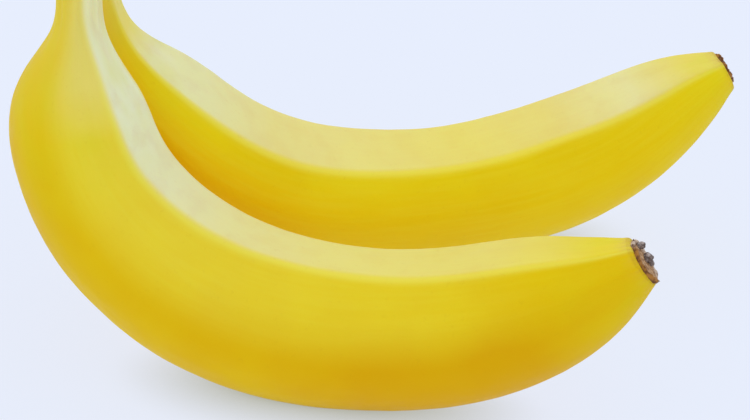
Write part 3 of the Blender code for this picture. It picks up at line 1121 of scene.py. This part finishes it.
def buildBlossom(side, place, materials):
    end = blossomEnds[side]
    toWorld = endFrame(*place, end["aboveMiddle"])
    pieces = [
        buildRim(f"blossomRim{side}", end, toWorld, materials["rim"]),
        buildHeart(f"blossomHeart{side}", end, toWorld, materials["heart"]),
        buildScraps(f"petalScraps{side}", end, toWorld, materials["rim"]),
    ]
    for number, lump in enumerate(end["lumps"], 1):
        name = f"witheredStyle{side}{number}"
        pieces.append(buildStyle(name, end, lump, number, toWorld, materials["style"]))
    for piece in pieces:
        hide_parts(end["node"])
        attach(piece, "root")
    return pieces


# The stage: floor, lights, world and camera
studio = {
    "floorSize": 6.0,
    "floorColour": (0.18, 0.18, 0.18, 1.0),
    "floorPatches": (2.0, 2.0, 0.2, 0.8),
    "floorPatchTone": 0.985,  # of the floor's colour
    "floorRoughness": 0.9,
    "floorGlow": (0.81, 0.865, 1.0, 1.0),
    "floorGlowStrength": 0.835,
    "paintedShadowTone": (0.36, 0.38, 0.28, 1.0),  # colour of the painted shadow right under the fruit
    "paintedShadowReach": 0.0135,
    "paintedShadowFalloff": 2.0,
    "worldColour": (0.80, 0.86, 1.0, 1.0),
    "worldStrength": 0.86,
    "lamps": (  # name, place, size, power
        ("leftSoftbox", (-0.45, 0.25, 0.65), (0.7, 0.6), 1.0),
        ("rightSoftbox", (0.35, 0.45, 0.65), (0.7, 0.6), 1.1),
        ("frontFill", (-0.25, -0.88, 0.5), (0.8, 0.6), 1.1),
    ),
    "lampColour": (0.85, 0.90, 1.0),
    "lampAim": (0.0, 0.0, 0.04),
    "lens": 100.0,
    "cameraPlace": (-0.01717, -0.42725, 0.27464),
    "cameraTurn": (60.0, -3.0, 0.0),  # degrees
}


def buildFloor():
    # a pale floor that glows evenly, with a painted contact shadow in its glow close under the fruit
    mesh = bmesh.new()
    bmesh.ops.create_grid(mesh, x_segments=1, y_segments=1, size=studio["floorSize"] / 2)
    material, tree, shader = newMaterial("paleFloor")
    patches = maskFrom(tree, cloudyPatches, objectPlace(tree), studio["floorPatches"])
    tone = [c * studio["floorPatchTone"] for c in studio["floorColour"][:3]] + [1.0]
    # painted contact shadow: the glow turns to the shadow tone where the fruit closes the floor in
    openness = addNode(tree, "ShaderNodeAmbientOcclusion", Distance=studio["paintedShadowReach"]).outputs["AO"]
    shade = doMath(tree, "POWER", doMath(tree, "SUBTRACT", 1.0, openness), studio["paintedShadowFalloff"])
    feedAll(tree, shader, {
        "Base Color": mixColours(tree, patches, studio["floorColour"], tone),
        "Roughness": studio["floorRoughness"],
        "Specular IOR Level": 0.0,
        "Emission Color": mixColours(tree, shade, studio["floorGlow"], studio["paintedShadowTone"]),
        "Emission Strength": studio["floorGlowStrength"],
    })
    floor = finishMesh("studioFloor", mesh, material)


def buildLights(fruitPieces):
    # the lamps light only the fruit, so that the floor keeps the even tone of a wide pale tent
    lit = bpy.data.collections.new("litByLamps")
    for piece in fruitPieces:
        lit.objects.link(piece)
    world = bpy.data.worlds.new("paleStudio")
    world.use_nodes = True
    tree = world.node_tree
    light = {"Color": studio["worldColour"], "Strength": studio["worldStrength"]}
    feedAll(tree, tree.nodes["Background"], light)
    bpy.context.scene.world = world
    for name, place, size, power in studio["lamps"]:
        lamp = bpy.data.lights.new(name, "AREA")
        lamp.shape = "RECTANGLE"
        lamp.size, lamp.size_y = size
        lamp.energy = power
        lamp.color = studio["lampColour"]
        thing = addObject(name, lamp)
        thing.location = place
        aim = Vector(studio["lampAim"]) - Vector(place)
        thing.rotation_euler = aim.to_track_quat("-Z", "Y").to_euler()
        thing.light_linking.receiver_collection = lit
    bpy.context.scene.view_settings.view_transform = "Standard"


def buildCamera():
    camera = addObject("photoCamera", bpy.data.cameras.new("photoCamera"))
    camera.data.lens = studio["lens"]
    camera.location = studio["cameraPlace"]
    camera.rotation_euler = [radians(angle) for angle in studio["cameraTurn"]]
    bpy.context.scene.camera = camera


pair, fruitEnds = buildPair(paintSkin())
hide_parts("banana_pair")
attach(pair, "root")
print("fruits and crown built:", len(pair.data.polygons), "faces")

withered = {part: paintWithered(look) for part, look in blossomFinish.items()}
pieces = [pair]
for side, place in zip(blossomEnds, fruitEnds):
    made = buildBlossom(side, place, withered)
    pieces += made
    print("blossom end built:", side, len(made), "pieces")

buildFloor()
buildLights(pieces)
buildCamera()
print("stage, lights and camera ready")
